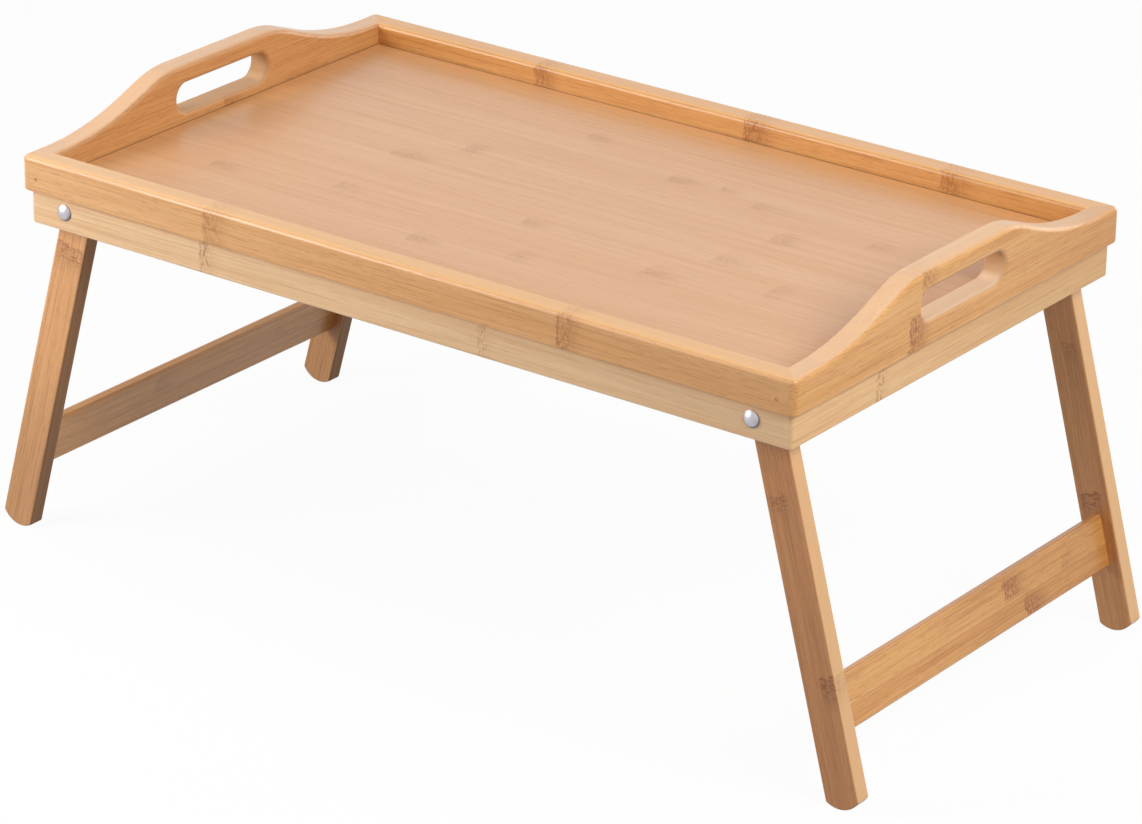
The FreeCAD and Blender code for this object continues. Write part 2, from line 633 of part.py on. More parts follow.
def pivot_screw(label, side, end):
    """Pan head with a cross recess, on the washer at the end of the sleeve."""
    body = pivot_body(label, side, end, "screw_seat")
    head, crown, rim = size("screw_head_diameter") / 2, size("screw_head_height"), size("screw_head_rim")
    shank, length = size("screw_diameter") / 2, size("screw_length")
    sketch = sketch_on(body, "XZ_Plane", "halfSection")
    outline(sketch, [
        dome(rim, head, crown - rim),
        line(0, crown, 0, -length),
        line(0, -length, shank, -length),
        line(shank, -length, shank, 0),
        line(shank, 0, head, 0),
        line(head, 0, head, rim),
    ])
    for number in range(1, 6):
        hold(sketch, "Vertical" if number % 2 else "Horizontal", number)
    hold(sketch, "PointOnObject", 0, 3, -2)
    hold(sketch, "PointOnObject", 1, 1, -2)
    hold(sketch, "PointOnObject", 4, 1, -1)
    drive(sketch, "crown", "sizes.screw_head_height", "DistanceY", -1, 1, 1, 1)
    drive(sketch, "rim", "sizes.screw_head_rim", "DistanceY", -1, 1, 5, 2)
    drive(sketch, "head", "sizes.screw_head_diameter / 2", "DistanceX", -1, 1, 5, 1)
    drive(sketch, "shank", "sizes.screw_diameter / 2", "DistanceX", -1, 1, 3, 1)
    drive(sketch, "length", "sizes.screw_length", "DistanceY", 2, 1, -1, 1)
    revolve(body, sketch, "screw")
    ease(body, "point", "sizes.screw_chamfer", lambda p: near(p.z, -length) and near(hypot(p.x, p.y), shank),
         kind="Chamfer")
    sketch = sketch_on(body, "XY_Plane", "recessArm", "sizes.screw_head_height")
    rectangle(sketch, "0", "sizes.recess_span / 2", "-sizes.recess_width / 2", "sizes.recess_width / 2")
    arm = pocket(body, sketch, "arm", "sizes.recess_depth")
    before = body.Shape.Volume
    cross = body.newObject("PartDesign::PolarPattern", "cross")
    cross.Originals = [arm]
    cross.Axis = (origin_part(body, "Z_Axis"), [""])
    cross.Angle = 360
    cross.Occurrences = 4
    body.Tip = cross
    check_cut(body, cross, before)


def washer(label, side, end, place, diameter, hole, thickness):
    """Flat washer. It starts at a named place and reaches in towards the middle of the tray."""
    body = pivot_body(label, side, end, place)
    sketch = sketch_on(body, "XY_Plane", "section")
    ring(sketch, "rim", f"sizes.{diameter} / 2")
    ring(sketch, "hole", f"sizes.{hole}")
    pad(body, sketch, "plate", f"sizes.{thickness}")


# ---- the assembly ----

low_rail("front_rail", -1)
low_rail("back_rail", 1)
handle_rail("left_handle_rail", -1)
handle_rail("right_handle_rail", 1)
tray_panel()
corner_brads()

apron("front_apron", "apron_length", y="-sizes.apron_face", bored=True)
apron("back_apron", "apron_length", y="sizes.apron_face", turn=180, bored=True)
apron("left_end_apron", "apron_width", x="-sizes.apron_end", turn=-90)
apron("right_end_apron", "apron_width", x="sizes.apron_end", turn=90)

for side_name, side in FRAME_SIDES:
    stretcher(f"{side_name}_stretcher", side)
    for end_name, end in FRAME_ENDS:
        corner_name = f"{side_name}_{end_name}"
        leg(f"{corner_name}_leg", side, end)
        for step_name, step in DOWEL_STEPS:
            dowel(f"{corner_name}_{step_name}_dowel", side, end, step)
        barrel_nut(f"{corner_name}_barrel_nut", side, end)
        washer(f"{corner_name}_spacer_washer", side, end, "apron_back", "spacer_diameter", "leg_bore",
               "spacer_reach")
        washer(f"{corner_name}_screw_washer", side, end, "sleeve_end", "washer_diameter", "screw_hole",
               "washer_thickness")
        pivot_screw(f"{corner_name}_pivot_screw", side, end)

doc.recompute()

# ---- checks and export ----

for item in doc.Objects:
    if "Invalid" in item.State or "Error" in item.State:
        raise RuntimeError(f"{item.Label} did not build: {item.State}")
    if item.TypeId == "Sketcher::SketchObject" and not item.FullyConstrained:
        raise RuntimeError(f"{item.Label} is not fully dimensioned")
for sub_part in sub_parts:
    if sub_part.Shape.isNull() or not sub_part.Shape.isValid():
        raise RuntimeError(f"{sub_part.Label} has no valid shape")

os.makedirs("parts", exist_ok=True)
for sub_part in sub_parts:
    sub_part.Shape.exportStep(f"parts/{sub_part.Label}.step")
print(len(sub_parts), "sub-parts written")
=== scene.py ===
"""Bamboo bed tray table: the looks of every board, nut, washer and screw, and the studio round them."""
from collections import namedtuple
from math import cos, pi, radians, sin

import bpy
from mathutils import Matrix, Vector


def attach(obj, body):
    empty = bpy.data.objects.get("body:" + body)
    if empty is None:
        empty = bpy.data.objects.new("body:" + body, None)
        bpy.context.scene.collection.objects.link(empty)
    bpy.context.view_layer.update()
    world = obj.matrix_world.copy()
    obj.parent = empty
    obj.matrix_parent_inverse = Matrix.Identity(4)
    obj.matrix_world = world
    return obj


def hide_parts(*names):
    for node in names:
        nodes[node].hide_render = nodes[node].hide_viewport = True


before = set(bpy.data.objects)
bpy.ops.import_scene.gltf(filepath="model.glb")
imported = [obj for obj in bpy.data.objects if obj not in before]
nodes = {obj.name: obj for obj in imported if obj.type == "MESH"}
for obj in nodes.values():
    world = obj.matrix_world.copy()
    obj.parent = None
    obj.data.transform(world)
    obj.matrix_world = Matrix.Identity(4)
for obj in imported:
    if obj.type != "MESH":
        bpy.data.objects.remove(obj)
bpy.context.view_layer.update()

# ---------------------------------------------------------------- sizes of the table, in metres

X, Y, Z = (1, 0, 0), (0, 1, 0), (0, 0, 1)
LEAN = radians(15)                              # the legs stand this far from upright
PIVOT_X, PIVOT_Z = 0.223096, 0.2015
LEG_FACE, LEG_THICK = 0.1354, 0.010             # the outer face is counted from the middle of the tray
RAIL_X, RAIL_Y, RAIL_Z = 0.243, 0.143, 0.2195   # middle lines of the handle rails and the low rails
APRON_X, APRON_Y, APRON_Z = 0.242, 0.142, 0.2   # middle lines of the aprons
PANEL_Z, PANEL_HALF = 0.215, (0.2357, 0.1357)   # half of its length and width, as seen between the rails
STRETCHER_X, STRETCHER_Z = 0.262, 0.0475
HAND_SLOT = (0.03, 0.0118, 0.008)               # half of its straight part, height over RAIL_Z, radius
MIDDLE_STRIP = 0.0101                           # moves the strips so that one fills a narrow board
WHOLE = 0.02                                    # reach of a knuckle that crosses a whole narrow board


# ---------------------------------------------------------------- small helpers for shader and geometry trees

FLOAT, VECTOR, COLOUR = "NodeSocketFloat", "NodeSocketVector", "NodeSocketColor"
MIX_AMOUNT, MIX_UNDER, MIX_OVER, MIX_RESULT = 0, 6, 7, 2    # places of the colour sockets on a Mix node


def paint(code):
    """A colour written as on a paint card, turned to the numbers that the shaders want."""
    parts = [int(code[i:i + 2], 16) / 255 for i in (1, 3, 5)]
    return tuple(c / 12.92 if c <= 0.04045 else ((c + 0.055) / 1.055) ** 2.4 for c in parts) + (1,)


def put(tree, kind, inputs=None, **settings):
    """Adds one node. An input is a plain value or another node's output."""
    node = tree.nodes.new(kind)
    for name, value in settings.items():
        setattr(node, name, value)
    for name, value in (inputs or {}).items():
        socket = node.inputs[name]
        if isinstance(value, bpy.types.NodeSocket):
            tree.links.new(value, socket)
        else:
            socket.default_value = value
    return node


def maths(tree, kind, first, second=0.0, third=0.0, clamp=False):
    """One Math node."""
    node = put(tree, "ShaderNodeMath", {0: first, 1: second, 2: third}, operation=kind, use_clamp=clamp)
    return node.outputs[0]


def plus(tree, first, second):
    """First and second together."""
    return maths(tree, "ADD", first, second)


def less(tree, first, second):
    """First without second."""
    return maths(tree, "SUBTRACT", first, second)


def times(tree, first, second):
    """First as many times as second says."""
    return maths(tree, "MULTIPLY", first, second)


def scaled(tree, value, factor, start):
    """A value times a factor, counted from a start."""
    return maths(tree, "MULTIPLY_ADD", value, factor, start)


def unsigned(tree, value):
    """A value without its sign."""
    return maths(tree, "ABSOLUTE", value)


def span(tree, first, second):
    """Distance covered by two steps that are square to each other."""
    return maths(tree, "SQRT", scaled(tree, first, first, times(tree, second, second)))


def vector(tree, x=0.0, y=0.0, z=0.0):
    """Three numbers as one place, size or turn."""
    return put(tree, "ShaderNodeCombineXYZ", {0: x, 1: y, 2: z}).outputs[0]


def split(tree, place):
    """The three numbers of a place."""
    return put(tree, "ShaderNodeSeparateXYZ", {0: place}).outputs


def ramp(tree, value, low, high, out_low=0.0, out_high=1.0):
    """Smooth step of a value between two levels."""
    return put(tree, "ShaderNodeMapRange", {0: value, 1: low, 2: high, 3: out_low, 4: out_high},
               interpolation_type="SMOOTHSTEP").outputs[0]


def blend(tree, amount, under, over, kind="MIX"):
    """One colour laid over another."""
    return put(tree, "ShaderNodeMix", {MIX_AMOUNT: amount, MIX_UNDER: under, MIX_OVER: over},
               data_type="RGBA", blend_type=kind, clamp_factor=True).outputs[MIX_RESULT]


def speckle(tree, place, stretch, detail=1.0):
    """A noise, drawn out along the grain where stretch is small."""
    moved = put(tree, "ShaderNodeVectorMath", {0: place, 1: stretch}, operation="MULTIPLY").outputs[0]
    return put(tree, "ShaderNodeTexNoise",
               {"Vector": moved, "Scale": 1.0, "Detail": detail, "Roughness": 0.55}).outputs["Fac"]


def facing(tree, coordinates, way):
    """How squarely each face looks a given way: 1 straight along it, -1 straight against it."""
    return put(tree, "ShaderNodeVectorMath", {0: coordinates["Normal"], 1: Vector(way).normalized()},
               operation="DOT_PRODUCT").outputs["Value"]


def group(name, sockets_in, sockets_out):
    """An empty shader node group with named inputs and outputs."""
    tree = bpy.data.node_groups.new(name, "ShaderNodeTree")
    for label, kind, value in sockets_in:
        socket = tree.interface.new_socket(label, in_out="INPUT", socket_type=kind)
        if value is not None:
            socket.default_value = value
    for label, kind in sockets_out:
        tree.interface.new_socket(label, in_out="OUTPUT", socket_type=kind)
    return tree, tree.nodes.new("NodeGroupInput").outputs, tree.nodes.new("NodeGroupOutput").inputs


def empty_material(name):
    """A material with nothing in it yet, and its tree."""
    material = bpy.data.materials.new(name)
    material.use_nodes = True
    material.node_tree.nodes.clear()
    return material, material.node_tree


def show(tree, shader, kind="ShaderNodeOutputMaterial"):
    """Ends a material or a world with its shader."""
    tree.links.new(shader.outputs[0], put(tree, kind).inputs[0])


# ---------------------------------------------------------------- bamboo

# How often a mark comes in one metre: along the grain, across the face and into the wood.
STREAKS, FIBRES, HAIRS, PORES = (5, 240, 240), (16, 1000, 1000), (55, 3000, 3000), (150, 2200, 2200)
WAVES, CURLS = (40, 210, 210), (800, 360, 360)
GLUE_WIDTH = 0.0004


def bamboo_strips():
    """Straight strips glued side by side: a tone for each strip, drawn-out streaks, fine fibres and short
    dark pores. Place is the board's own measure: X along the grain, Y across the face, Z into the wood."""
    tree, given, out = group("bamboo strips", [
        ("Place", VECTOR, None), ("Pale", COLOUR, paint("#E8BE8C")), ("Deep", COLOUR, paint("#D09A62")),
        ("Fibre", COLOUR, paint("#A8703C")), ("Strip width", FLOAT, 0.02), ("Strip offset", FLOAT, 0.0),
        ("Strip contrast", FLOAT, 0.5), ("Streaks", FLOAT, 0.5), ("Fibres", FLOAT, 0.5),
        ("Pores", FLOAT, 0.4), ("Glue line", FLOAT, 0.3), ("Board", FLOAT, 0.0),
    ], [("Color", COLOUR), ("Height", FLOAT), ("Gloss", FLOAT), ("Wave", FLOAT), ("Curl", FLOAT),
        ("Thread", FLOAT)])
    # each strip has a number of its own and is cut from another place in the wood
    across = maths(tree, "DIVIDE", plus(tree, split(tree, given["Place"])[1], given["Strip offset"]),
                   given["Strip width"])
    strip = vector(tree, maths(tree, "FLOOR", across), given["Board"])
    own = put(tree, "ShaderNodeTexWhiteNoise", {"Vector": strip}, noise_dimensions="2D").outputs["Value"]
    away = vector(tree, scaled(tree, own, 3.0, given["Board"]), own)
    wood = put(tree, "ShaderNodeVectorMath", {0: given["Place"], 1: away}, operation="ADD").outputs[0]
    # from the broadest marks to the shortest
    broad = speckle(tree, wood, STREAKS)
    narrow = speckle(tree, wood, FIBRES, 2.0)
    hair = speckle(tree, wood, HAIRS)
    dash = speckle(tree, wood, PORES, 0.0)
    tone = times(tree, less(tree, own, 0.5), given["Strip contrast"])
    tone = scaled(tree, less(tree, broad, 0.5), times(tree, given["Streaks"], 2.4), tone)
    tone = maths(tree, "ADD", tone, 0.5, clamp=True)
    thread = ramp(tree, narrow, 0.46, 0.7)
    fine = ramp(tree, hair, 0.48, 0.72)
    grain = times(tree, scaled(tree, thread, 0.65, times(tree, fine, 0.35)), given["Fibres"])
    pore = times(tree, ramp(tree, dash, 0.64, 0.74), given["Pores"])
    # the glue line runs where one strip meets the next
    edge = unsigned(tree, less(tree, maths(tree, "FRACT", across), 0.5))
    gap = times(tree, less(tree, 0.5, edge), given["Strip width"])
    joint = times(tree, ramp(tree, gap, 0.0, GLUE_WIDTH, 1.0, 0.0), given["Glue line"])
    colour = blend(tree, tone, given["Pale"], given["Deep"])
    for amount in (grain, pore, joint):
        colour = blend(tree, amount, colour, given["Fibre"])
    height = less(tree, scaled(tree, hair, -0.5, 1.0), scaled(tree, narrow, 0.5, joint))
    gloss = scaled(tree, grain, 0.35, times(tree, broad, 0.5))
    wave = speckle(tree, wood, WAVES)
    curl = speckle(tree, wood, CURLS, 2.0)
    for label, value in (("Color", colour), ("Height", height), ("Gloss", gloss), ("Wave", wave),
                         ("Curl", curl), ("Thread", thread)):
        tree.links.new(value, out[label])
    return tree


def bamboo_knuckle():
    """The brown band where the cane had a joint. Width is half of the band, Reach half of its strip. One
    side of the band is a ragged line, the other fades along the grain, and short curled marks lie between.
    Soft smudges its ends."""
    tree, given, out = group("bamboo knuckle", [
        ("Place", VECTOR, None), ("Along", FLOAT, 0.0), ("Across", FLOAT, 0.0), ("Reach", FLOAT, 0.01),
        ("Width", FLOAT, 0.005), ("Soft", FLOAT, 0.1), ("Wave", FLOAT, 0.5), ("Curl", FLOAT, 0.5),
        ("Thread", FLOAT, 0.5),
    ], [("Line", FLOAT), ("Shade", FLOAT)])
    axis = split(tree, given["Place"])
    curl = given["Curl"]
    rag = scaled(tree, less(tree, curl, 0.5), 1.5, times(tree, less(tree, given["Wave"], 0.5), 0.9))
    # off counts half widths of the band along the grain, side counts reaches across it
    off = plus(tree, maths(tree, "DIVIDE", less(tree, axis[0], given["Along"]), given["Width"]), rag)
    side = maths(tree, "DIVIDE", unsigned(tree, less(tree, axis[1], given["Across"])), given["Reach"])
    side = scaled(tree, rag, times(tree, given["Soft"], 1.4), side)
    inside = ramp(tree, side, scaled(tree, given["Soft"], -0.8, 0.97), 1.03, 1.0, 0.0)
    border = times(tree, ramp(tree, unsigned(tree, plus(tree, off, 0.9)), 0.03, 0.24, 0.8, 0.0),
                   ramp(tree, curl, 0.38, 0.56, 0.2, 1.0))
    worms = times(tree, ramp(tree, unsigned(tree, off), 0.5, 1.3, 1.0, 0.0), ramp(tree, curl, 0.5, 0.64))
    band = times(tree, ramp(tree, off, -1.25, -0.7), ramp(tree, off, 0.2, 3.2, 1.0, 0.0))
    band = times(tree, band, scaled(tree, given["Thread"], 0.35, ramp(tree, curl, 0.36, 0.62, 0.3, 0.85)))
    tree.links.new(times(tree, maths(tree, "MAXIMUM", border, worms), inside), out["Line"])
    tree.links.new(times(tree, band, inside), out["Shade"])
    return tree


STRIPS, KNUCKLE = bamboo_strips(), bamboo_knuckle()
LACQUER = 0.25                  # how much of it lies over the bamboo

# All lengths are in the board's own measure. A knuckle's line and shade say how strong its curled marks and
# its band are.
Knuckle = namedtuple("Knuckle", "along across reach width line shade")
# A hand slot's wall has its own tone, and a paler painted-light tone where it looks up.
HandSlot = namedtuple("HandSlot", "half_length lift radius round_tone flat_tone")
# A fade is painted shade: the board darkens by its tint from start to end along the grain.
Fade = namedtuple("Fade", "start end tint")


def turned(along, across):
    """The turn that lays X along the grain and Y across the face."""
    x = Vector(along).normalized()
    y = Vector(across).normalized()
    z = x.cross(y)
    return Matrix((x, y, z)).transposed().to_euler("XYZ")


def painted_panel_rim(tree, colour, spread, half_size):
    """Painted warm light reflected from the rails round the panel's rim, and painted shade in the gap round it.
    """
    gap = maths(tree, "MAXIMUM", less(tree, unsigned(tree, spread[0]), half_size[0]),
                less(tree, unsigned(tree, spread[1]), half_size[1]))
    colour = blend(tree, ramp(tree, gap, -0.03, -0.002), colour, paint("#F6EED2"), "MULTIPLY")
    return blend(tree, ramp(tree, gap, -0.0011, -0.0003, 0.0, 0.85), colour, paint("#6E4526"))


def slot_wall(tree, spread, slot):
    """1 on the wall of the hand slot and 0 on the faces round it."""
    ahead = maths(tree, "MAXIMUM", less(tree, unsigned(tree, spread[0]), slot.half_length), 0.0)
    wall = span(tree, ahead, less(tree, spread[1], slot.lift))
    return ramp(tree, wall, slot.radius + 0.0003, slot.radius + 0.0026, 1.0, 0.0)


def bamboo(name, middle, along, across, pale, deep, fibre, knuckles=(), shade="#8E4A10", soft_ends=0.12,
           strip=0.0203, offset=0.0, contrast=0.35, streaks=0.5, fibres=0.58, pores=0.35, glue=0.35,
           board=0.0, edge=None, bare=False, fade=None, rim=None, slot=None, rough=(0.36, 0.52)):
    """Lacquered bamboo for one board, laid out from the board's middle or pivot, along the grain and across
    the face."""
    material, tree = empty_material(name)
    coordinates = put(tree, "ShaderNodeTexCoord").outputs
    place = put(tree, "ShaderNodeMapping",
                {"Vector": coordinates["Object"], "Location": middle, "Rotation": turned(along, across)},
                vector_type="TEXTURE").outputs[0]
    wood = put(tree, "ShaderNodeGroup", {
        "Place": place, "Pale": paint(pale), "Deep": paint(deep), "Fibre": paint(fibre),
        "Strip width": strip, "Strip offset": offset, "Strip contrast": contrast, "Streaks": streaks,
        "Fibres": fibres, "Pores": pores, "Glue line": glue, "Board": board}, node_tree=STRIPS).outputs
    colour, height = wood["Color"], wood["Height"]
    spread = split(tree, place) if fade or rim or slot else None
    narrow = flat = None
    if edge:
        # the narrow faces show the strips from the side, in another tone and with weaker knuckles; the dark
        # tone on the left legs' narrow faces is painted shade
        narrow = ramp(tree, unsigned(tree, facing(tree, coordinates, across)), 0.62, 0.9, 0.0, 0.85)
        flat = scaled(tree, narrow, -0.8, 1.0)
        colour = blend(tree, narrow, colour, blend(tree, 0.8, colour, paint(edge)))
    for knuckle in knuckles:
        mark = put(tree, "ShaderNodeGroup", {
            "Place": place, "Along": knuckle.along, "Across": knuckle.across, "Reach": knuckle.reach,
            "Width": knuckle.width, "Soft": soft_ends, "Wave": wood["Wave"], "Curl": wood["Curl"],
            "Thread": wood["Thread"]}, node_tree=KNUCKLE).outputs
        band, line = knuckle.shade, knuckle.line
        if edge:
            band, line = times(tree, flat, band), times(tree, flat, line)
        colour = blend(tree, times(tree, mark["Shade"], band), colour, paint(fibre))
        colour = blend(tree, times(tree, mark["Line"], line), colour, paint(shade))
        height = scaled(tree, mark["Line"], -0.5 * knuckle.line, height)
    if fade:
        # painted shade: the board darkens by its tint towards the end that gets less light from the lamps
        falloff_shade = ramp(tree, spread[0], fade.start, fade.end)
        colour = blend(tree, falloff_shade, colour, paint(fade.tint), "MULTIPLY")
    if rim:
        # painted warm reflection near the rails and painted shade in the gap round the panel
        colour = painted_panel_rim(tree, colour, spread, rim)
    gloss, coat = ramp(tree, wood["Gloss"], 0.1, 0.7, *rough), LACQUER
    if bare:
        # the lacquer is thin on the narrow faces
        gloss = scaled(tree, narrow, 0.3, gloss)
        coat = maths(tree, "MULTIPLY_ADD", narrow, -0.28, LACQUER, clamp=True)
    if slot:
        # the wall of the hand slot is duller than the faces and bare of lacquer; where it looks up it is
        # painted paler, a painted light from above
        wall = slot_wall(tree, spread, slot)
        lit_from_above = ramp(tree, facing(tree, coordinates, across), 0.5, 0.95)
        cut = blend(tree, lit_from_above, paint(slot.round_tone), paint(slot.flat_tone))
        colour = blend(tree, times(tree, wall, 0.85), colour, cut)
        gloss = scaled(tree, wall, 0.3, gloss)
        coat = scaled(tree, wall, -LACQUER, LACQUER)
    relief = put(tree, "ShaderNodeBump", {"Strength": 0.12, "Distance": 0.0004, "Height": height}).outputs[0]
    show(tree, put(tree, "ShaderNodeBsdfPrincipled", {
        "Base Color": colour, "Roughness": gloss, "Normal": relief, "IOR": 1.5, "Coat Weight": coat,
        "Coat Roughness": 0.22}))
    return material


def wear(node, material):
    """Gives a CAD piece its finish."""
    for slot in nodes[node].material_slots:
        slot.material = material


def narrow_board(node, name, middle, along, board, **looks):
    """Gives a rail or an apron its bamboo, one strip high."""
    wear(node, bamboo(name, middle, along, Z, offset=MIDDLE_STRIP, board=board, **looks))


# ---------------------------------------------------------------- rails and aprons

CREAM = "#F1C7A0"
APRON = dict(pale="#F4CEA1", deep="#E6B786", fibre="#C4925E", pores=0.2)

narrow_board("front_rail", "front rail bamboo", (0, -RAIL_Y, RAIL_Z), X, 1.0,
             pale="#ECB881", deep="#D99E62", fibre="#B3773E", edge="#F0C28E",
             fade=Fade(-0.26, 0.0, "#FFFAF0"),
             knuckles=[Knuckle(-0.117, 0, WHOLE, 0.0055, 0.25, 0.55),
                       Knuckle(0.112, 0, WHOLE, 0.0045, 0.4, 0.7)])
narrow_board("back_rail", "back rail bamboo", (0, RAIL_Y, RAIL_Z), X, 2.0,
             pale="#E5AE6C", deep="#D2944A", fibre="#A86728", edge="#F0BB84",
             knuckles=[Knuckle(-0.118, 0, WHOLE, 0.005, 0.35, 0.8),
                       Knuckle(0.026, 0, WHOLE, 0.006, 0.4, 0.95),
                       Knuckle(0.1536, 0, WHOLE, 0.006, 0.35, 0.7)])
narrow_board("left_handle_rail", "left handle bamboo", (-RAIL_X, 0, RAIL_Z), Y, 3.0,
             pale="#D8A268", deep="#C98C50", fibre="#A2652E", edge=CREAM, soft_ends=0.6,
             slot=HandSlot(*HAND_SLOT, "#B58C64", "#CEA781"),
             knuckles=[Knuckle(0.005, -0.002, 0.008, 0.0045, 0.3, 0.7)])
narrow_board("right_handle_rail", "right handle bamboo", (RAIL_X, 0, RAIL_Z), Y, 4.0,
             pale="#F1B973", deep="#DD9C4F", fibre="#B06C2C", edge=CREAM, fade=Fade(0.0, 0.15, "#F0E8DA"),
             slot=HandSlot(*HAND_SLOT, "#CCA57E", "#E8C9AA"),
             knuckles=[Knuckle(-0.043, 0, 0.0102, 0.0055, 0.6, 1.0),
                       Knuckle(-0.0338, 0.0213, 0.0102, 0.0045, 0.5, 0.6)])
narrow_board("front_apron", "front apron bamboo", (0, -APRON_Y, APRON_Z), X, 5.0, **APRON,
             knuckles=[Knuckle(-0.1246, 0, WHOLE, 0.0035, 0.5, 0.35),
                       Knuckle(0.0588, 0, WHOLE, 0.003, 0.35, 0.2)])
narrow_board("back_apron", "back apron bamboo", (0, APRON_Y, APRON_Z), X, 6.0, **APRON,
             knuckles=[Knuckle(0.08, 0, WHOLE, 0.004, 0.5, 0.35)])
narrow_board("left_end_apron", "left apron bamboo", (-APRON_X, 0, APRON_Z), Y, 7.0, **APRON,
             knuckles=[Knuckle(0.03, 0, WHOLE, 0.004, 0.5, 0.35)])
narrow_board("right_end_apron", "right apron bamboo", (APRON_X, 0, APRON_Z), Y, 8.0,
             pale="#F8CE97", deep="#E8B478", fibre="#C2894B", pores=0.2, fade=Fade(-0.14, 0.15, "#EAE3D0"),
             knuckles=[Knuckle(-0.0676, 0, WHOLE, 0.004, 0.65, 0.2)])


# ---------------------------------------------------------------- tray panel

PANEL_MARKS = [(-0.110, 0.003), (-0.104, -0.0555), (-0.0867, 0.034), (0.0285, -0.0764), (0.0292, 0.0636),
               (0.0886, 0.0576), (-0.0439, 0.0904), (0.0579, 0.0673), (0.0053, -0.0348), (0.1159, -0.0158),
               (0.0976, -0.0535), (0.1224, 0.0254), (0.1619, -0.0372), (0.1674, 0.0466), (-0.0267, -0.0896),
               (-0.1768, -0.0714)]


def panel_knuckle(number, along, across):
    """A faint mark on the panel. Its size and strength follow its number, so that no two are alike."""
    return Knuckle(along, across, 0.0105 + 0.0025 * sin(7 * number), 0.0055 + 0.0015 * cos(5 * number), 0.2,
                   0.5 + 0.15 * cos(3 * number))


wear("tray_panel",
     bamboo("tray panel bamboo", (0, 0, PANEL_Z), X, Y, board=9.0, pale="#E5B487", deep="#D8A073",
            fibre="#B67C4E", contrast=0.3, streaks=0.34, fibres=0.27, pores=0.24, glue=0.12, strip=0.021,
            rim=PANEL_HALF, soft_ends=1.2,
            knuckles=[panel_knuckle(number, *mark) for number, mark in enumerate(PANEL_MARKS)]))


# ---------------------------------------------------------------- legs, stretchers and dowels

# The knuckles of a leg are counted down from its pivot, those of a stretcher from its middle to the rear.
# The dark tone on the narrow sides of the left legs is painted shade, for they lie in the shadow of the tray.
LEG_SIDES = {"right": dict(edge="#F4C68E"), "left": dict(edge="#866447", bare=True)}
LEGS = {
    ("right", "front"): dict(
        pale="#D1925C", deep="#B87A47", fibre="#895229",
        knuckles=[Knuckle(0.0474, -0.003, 0.007, 0.004, 0.5, 0.4),
                  Knuckle(0.143, 0.006, 0.006, 0.005, 0.9, 0.8)]),
    ("right", "rear"): dict(
        pale="#DAA068", deep="#C0854E", fibre="#90582C",
        knuckles=[Knuckle(0.0513, 0.002, 0.006, 0.004, 0.5, 0.35),
                  Knuckle(0.136, -0.001, 0.008, 0.005, 0.9, 0.7)]),
    ("left", "front"): dict(
        pale="#EFB67E", deep="#DB9C62", fibre="#A06436", fade=Fade(0.06, 0.18, "#DFDDD8"),
        knuckles=[Knuckle(0.0303, 0, 0.012, 0.005, 0.6, 0.5)]),
    ("left", "rear"): dict(
        pale="#CF9862", deep="#B8804A", fibre="#89542A",
        knuckles=[Knuckle(0.075, -0.003, 0.006, 0.004, 0.5, 0.4),
                  Knuckle(0.17, 0.003, 0.007, 0.004, 0.5, 0.4)]),
}
STRETCHERS = {
    "right": dict(
        fade=Fade(-0.07, 0.05, "#F0E9DC"),
        knuckles=[Knuckle(0.034, 0.0076, 0.0078, 0.0062, 0.9, 0.9),
                  Knuckle(0.0505, -0.0076, 0.0078, 0.0062, 0.9, 0.9),
                  Knuckle(0.0868, 0.004, 0.006, 0.004, 0.2, 0.3)]),
    "left": dict(knuckles=[Knuckle(-0.03, 0.0076, 0.0076, 0.0055, 0.2, 0.35)]),
}

for side, name in ((1, "right"), (-1, "left")):
    up = (-side * sin(LEAN), 0, cos(LEAN))
    down = (side * sin(LEAN), 0, -cos(LEAN))
    outward = (side * cos(LEAN), 0, sin(LEAN))
    for turn, end in ((-1, "front"), (1, "rear")):
        pivot = (side * PIVOT_X, turn * (LEG_FACE - LEG_THICK / 2), PIVOT_Z)
        wear(f"{name}_{end}_leg",
             bamboo(f"{name} {end} leg bamboo", pivot, down, outward, offset=MIDDLE_STRIP, soft_ends=0.4,
                    board=10.0 + side * 2 + turn, **LEG_SIDES[name], **LEGS[name, end]))
    wear(f"{name}_stretcher",
         bamboo(f"{name} stretcher bamboo", (side * STRETCHER_X, 0, STRETCHER_Z), Y, up, strip=0.0152,
                soft_ends=0.6, board=16.0 + side, pale="#EBB36D", deep="#D4934E", fibre="#9F622A",
                edge="#CF975C", shade="#A0520E", **STRETCHERS[name]))

dowel_wood = bamboo("dowel birch", (0, 0, 0), Y, Z, pale="#E6C79C", deep="#D9B383", fibre="#B58C5C", glue=0.0,
                    strip=0.02, board=20.0, rough=(0.6, 0.75))
for name in nodes:
    if name.endswith("dowel"):
        wear(name, dowel_wood)


# ---------------------------------------------------------------- metals

def shaded_head_rim(tree, colour, spot, inner, outer):
    """Painted shade round the rim of each nut's head, darkest at the bottom."""
    axis = split(tree, spot)
    lift = less(tree, axis[2], PIVOT_Z)
    away = span(tree, less(tree, unsigned(tree, axis[0]), PIVOT_X), lift)
    rim_shade = ramp(tree, scaled(tree, lift, -0.22, away), inner, outer, 0.0, 0.85)
    return blend(tree, rim_shade, colour, paint("#5C5860"))


